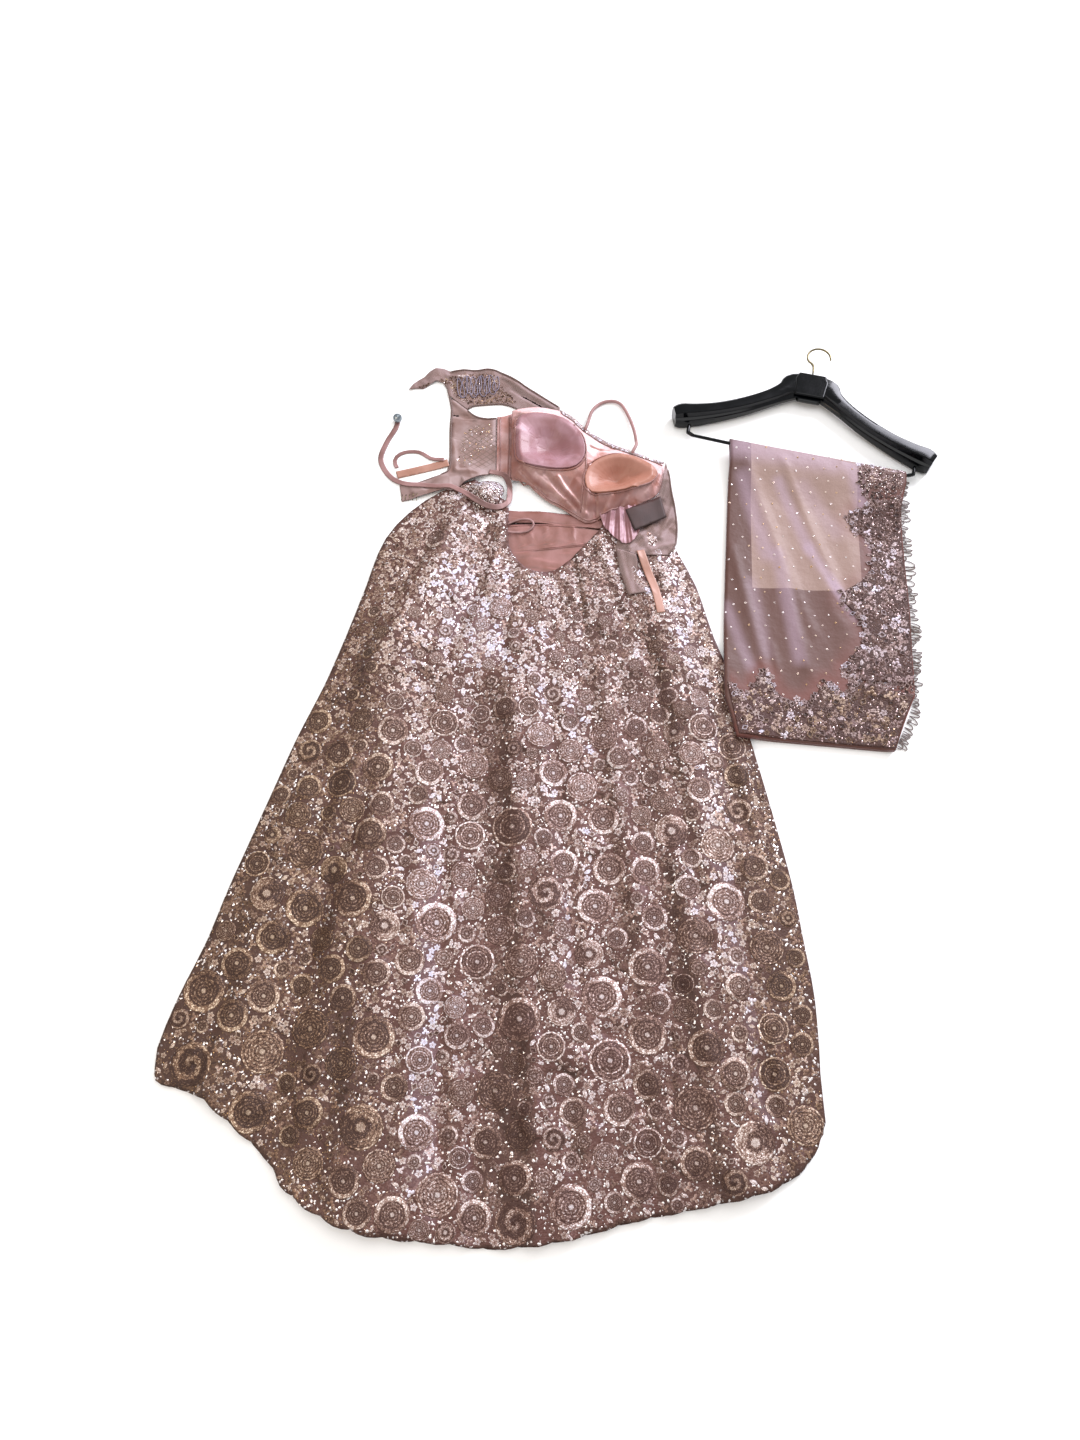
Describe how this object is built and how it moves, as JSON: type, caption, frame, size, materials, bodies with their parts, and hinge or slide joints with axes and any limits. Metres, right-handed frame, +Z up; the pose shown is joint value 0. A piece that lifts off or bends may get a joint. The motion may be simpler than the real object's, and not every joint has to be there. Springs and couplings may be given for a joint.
{
  "type": "lehenga choli",
  "caption": "South asian dress laid flat: an embroidered long skirt, a short blouse with moulded cups lying inside up on its waist, and a folded net stole on a coat hanger.",
  "frame": {"origin": "the middle of the laid out set's outline, on the surface that it lies on", "axes": "+X to the right in the picture, +Y from the skirt's hem to the hanger's hook, +Z up off the surface"},
  "size_m": [1.1357, 1.3693, 0.0343],
  "materials": {
    "embroidered_net": "net covered with sequins and metal thread",
    "beadwork": "silver and champagne beads on net",
    "satin": "satin lining",
    "pink_satin": "satin over foam",
    "blouse_net": "sheer net with a beaded lattice",
    "ribbon": "ribbon",
    "peach_ribbon": "ribbon",
    "label": "bare woven label",
    "crystal": "cut crystal",
    "veil": "several layers of sheer net with small sequins",
    "black_plastic": "glossy",
    "chrome": "polished wire"
  },
  "bodies": {
    "root": {"skirt_back": "embroidered_net", "skirt_front": "embroidered_net", "skirt_waist_casing": "satin", "skirt_lining": "satin", "skirt_hanging_loop": "ribbon", "skirt_waist_corner": "beadwork", "blouse_front": "satin", "blouse_cup_left": "pink_satin", "blouse_cup_right": "pink_satin", "blouse_neck_trim": "beadwork", "blouse_wing_left": "blouse_net", "blouse_boning_channel": "satin", "blouse_shoulder_band": "blouse_net", "blouse_wing_right": "blouse_net", "blouse_tab_right": "blouse_net", "blouse_gathers": "pink_satin", "blouse_label": "label", "blouse_strap": "ribbon", "ribbon_left_wide": "peach_ribbon", "ribbon_left_loop": "ribbon", "ribbon_left_long": "ribbon", "ribbon_right": "peach_ribbon", "crystal_tip": "crystal", "dupatta_folded": "veil", "dupatta_border_side": "beadwork", "dupatta_border_foot": "beadwork", "dupatta_fringe": "beadwork", "hanger_body": "black_plastic", "hanger_bar": "black_plastic", "hanger_hook": "chrome"}
  },
  "joints": []
}
